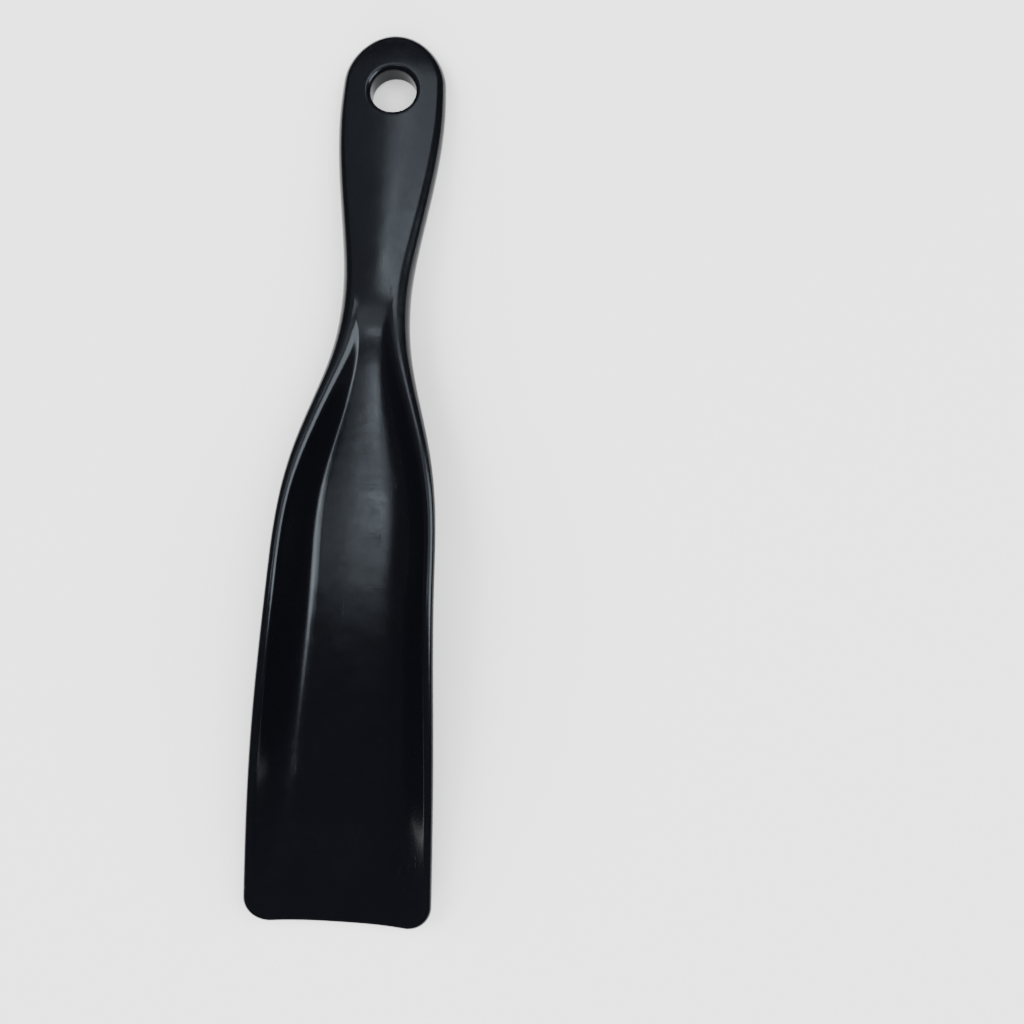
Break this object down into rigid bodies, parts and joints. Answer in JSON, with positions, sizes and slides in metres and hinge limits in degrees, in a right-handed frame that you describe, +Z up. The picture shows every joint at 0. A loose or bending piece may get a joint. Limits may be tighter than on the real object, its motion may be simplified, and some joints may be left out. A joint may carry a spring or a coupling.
{
  "type": "shoehorn",
  "caption": "Hand-length one-piece plastic shoehorn: paddle handle with a round hanging hole, narrow neck and a wide trough-shaped blade with a square rounded tip.",
  "frame": {"origin": "centre of the bounding box's bottom face, on the surface that the shoehorn lies on with its trough up", "axes": "+X from the handle's end to the blade's tip, +Y across, +Z up out of the trough and along the hanging hole"},
  "size_m": [0.1888, 0.0384, 0.0142],
  "materials": {
    "black_plastic": "satin gloss, fine moulded texture, near-black with a cool tint"
  },
  "bodies": {
    "root": {"shoehorn": "black_plastic"}
  },
  "joints": []
}
